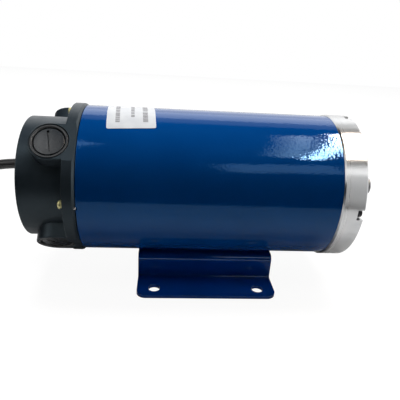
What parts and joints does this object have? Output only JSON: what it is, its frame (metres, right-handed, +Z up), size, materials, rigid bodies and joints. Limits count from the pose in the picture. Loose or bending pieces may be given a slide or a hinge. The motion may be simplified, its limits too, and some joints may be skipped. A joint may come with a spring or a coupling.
{
  "type": "pool pump",
  "caption": "Foot-mounted electric drive of a pool pump: round painted body, dark end bell with screw-capped brushes, drive-end flange with a keyed shaft, and a coiled lead.",
  "frame": {"origin": "middle of the motor's overall length, on the vertical plane through the shaft, at the underside of the foot", "axes": "+X along the shaft towards the drive end, +Z up, -Y towards the side that the label's lower edge and the near pair of brush caps face"},
  "size_m": [0.4494, 0.1215, 0.1344],
  "materials": {
    "blue_paint": "gloss enamel on steel",
    "cast_black": "satin black on a fine casting",
    "machined_aluminium": "turned",
    "yellow_zinc": "yellow zinc plate",
    "black_oxide": "black oxide",
    "black_plastic": "satin moulding",
    "label_film": "satin film",
    "cord_sheath": "satin sheath",
    "bright_steel": "ground",
    "ferrite": "ground ceramic magnet",
    "copper": "bare and enamelled copper",
    "carbon": "electrographite",
    "resin": "moulding resin",
    "seal_rubber": "nitrile lip seal"
  },
  "bodies": {
    "housing": {"motor_tube": "blue_paint", "rear_bell": "cast_black", "front_flange": "machined_aluminium", "rear_screw_1": "yellow_zinc", "rear_screw_2": "yellow_zinc", "rear_screw_3": "yellow_zinc", "rear_screw_4": "yellow_zinc", "rear_washer_1": "yellow_zinc", "rear_washer_2": "yellow_zinc", "rear_washer_3": "yellow_zinc", "rear_washer_4": "yellow_zinc", "front_screw_1": "black_oxide", "front_screw_2": "black_oxide", "front_screw_3": "black_oxide", "front_screw_4": "black_oxide", "foot_bracket": "blue_paint", "foot_weld_near": "blue_paint", "foot_weld_far": "blue_paint", "rating_label": "label_film", "seam_pin": "bright_steel", "field_magnet_1": "ferrite", "field_magnet_2": "ferrite", "field_magnet_3": "ferrite", "field_magnet_4": "ferrite", "brush_holder_1": "black_plastic", "brush_holder_2": "black_plastic", "brush_holder_3": "black_plastic", "brush_holder_4": "black_plastic", "brush_spring_1": "bright_steel", "brush_spring_2": "bright_steel", "brush_spring_3": "bright_steel", "brush_spring_4": "bright_steel", "rear_bearing_outer": "bright_steel", "front_bearing_outer": "bright_steel", "wave_washer": "bright_steel", "bearing_circlip": "bright_steel", "shaft_seal": "seal_rubber", "cable_gland": "black_plastic", "power_cable": "cord_sheath", "cable_coil": "cord_sheath", "coil_tie_1": "black_plastic", "coil_tie_2": "black_plastic", "cable_tail": "cord_sheath", "cable_connector": "black_plastic"},
    "rotor": {"rotor_shaft": "bright_steel", "shaft_key": "bright_steel", "armature_core": "bright_steel", "armature_winding": "copper", "commutator": "copper", "commutator_hub": "resin", "rear_bearing_inner": "bright_steel", "front_bearing_inner": "bright_steel"},
    "brush_1": {"carbon_brush_1": "carbon"},
    "brush_2": {"carbon_brush_2": "carbon"},
    "brush_3": {"carbon_brush_3": "carbon"},
    "brush_4": {"carbon_brush_4": "carbon"},
    "cap_1": {"brush_cap_1": "black_plastic"},
    "cap_2": {"brush_cap_2": "black_plastic"},
    "cap_3": {"brush_cap_3": "black_plastic"},
    "cap_4": {"brush_cap_4": "black_plastic"}
  },
  "joints": [
    {"name": "rotor_spin", "type": "hinge", "parent": "housing", "child": "rotor", "pos_m": [0, 0, 0.078], "axis": [1, 0, 0], "continuous": true},
    {"name": "brush_1_slide", "type": "slide", "parent": "housing", "child": "brush_1", "axis": [0, -0.7071, 0.7071], "range_m": [0, 0.008], "stiffness_N_per_m": 250, "springref_m": -0.012, "deforming": ["brush_spring_1"]},
    {"name": "brush_2_slide", "type": "slide", "parent": "housing", "child": "brush_2", "axis": [0, 0.7071, 0.7071], "range_m": [0, 0.008], "stiffness_N_per_m": 250, "springref_m": -0.012, "deforming": ["brush_spring_2"]},
    {"name": "brush_3_slide", "type": "slide", "parent": "housing", "child": "brush_3", "axis": [0, 0.7071, -0.7071], "range_m": [0, 0.008], "stiffness_N_per_m": 250, "springref_m": -0.012, "deforming": ["brush_spring_3"]},
    {"name": "brush_4_slide", "type": "slide", "parent": "housing", "child": "brush_4", "axis": [0, -0.7071, -0.7071], "range_m": [0, 0.008], "stiffness_N_per_m": 250, "springref_m": -0.012, "deforming": ["brush_spring_4"]},
    {"name": "cap_1_draw", "type": "slide", "parent": "housing", "child": "cap_1", "axis": [0, -0.7071, 0.7071], "range_m": [0, 0.012]},
    {"name": "cap_2_draw", "type": "slide", "parent": "housing", "child": "cap_2", "axis": [0, 0.7071, 0.7071], "range_m": [0, 0.012]},
    {"name": "cap_3_draw", "type": "slide", "parent": "housing", "child": "cap_3", "axis": [0, 0.7071, -0.7071], "range_m": [0, 0.012]},
    {"name": "cap_4_draw", "type": "slide", "parent": "housing", "child": "cap_4", "axis": [0, -0.7071, -0.7071], "range_m": [0, 0.012]}
  ]
}
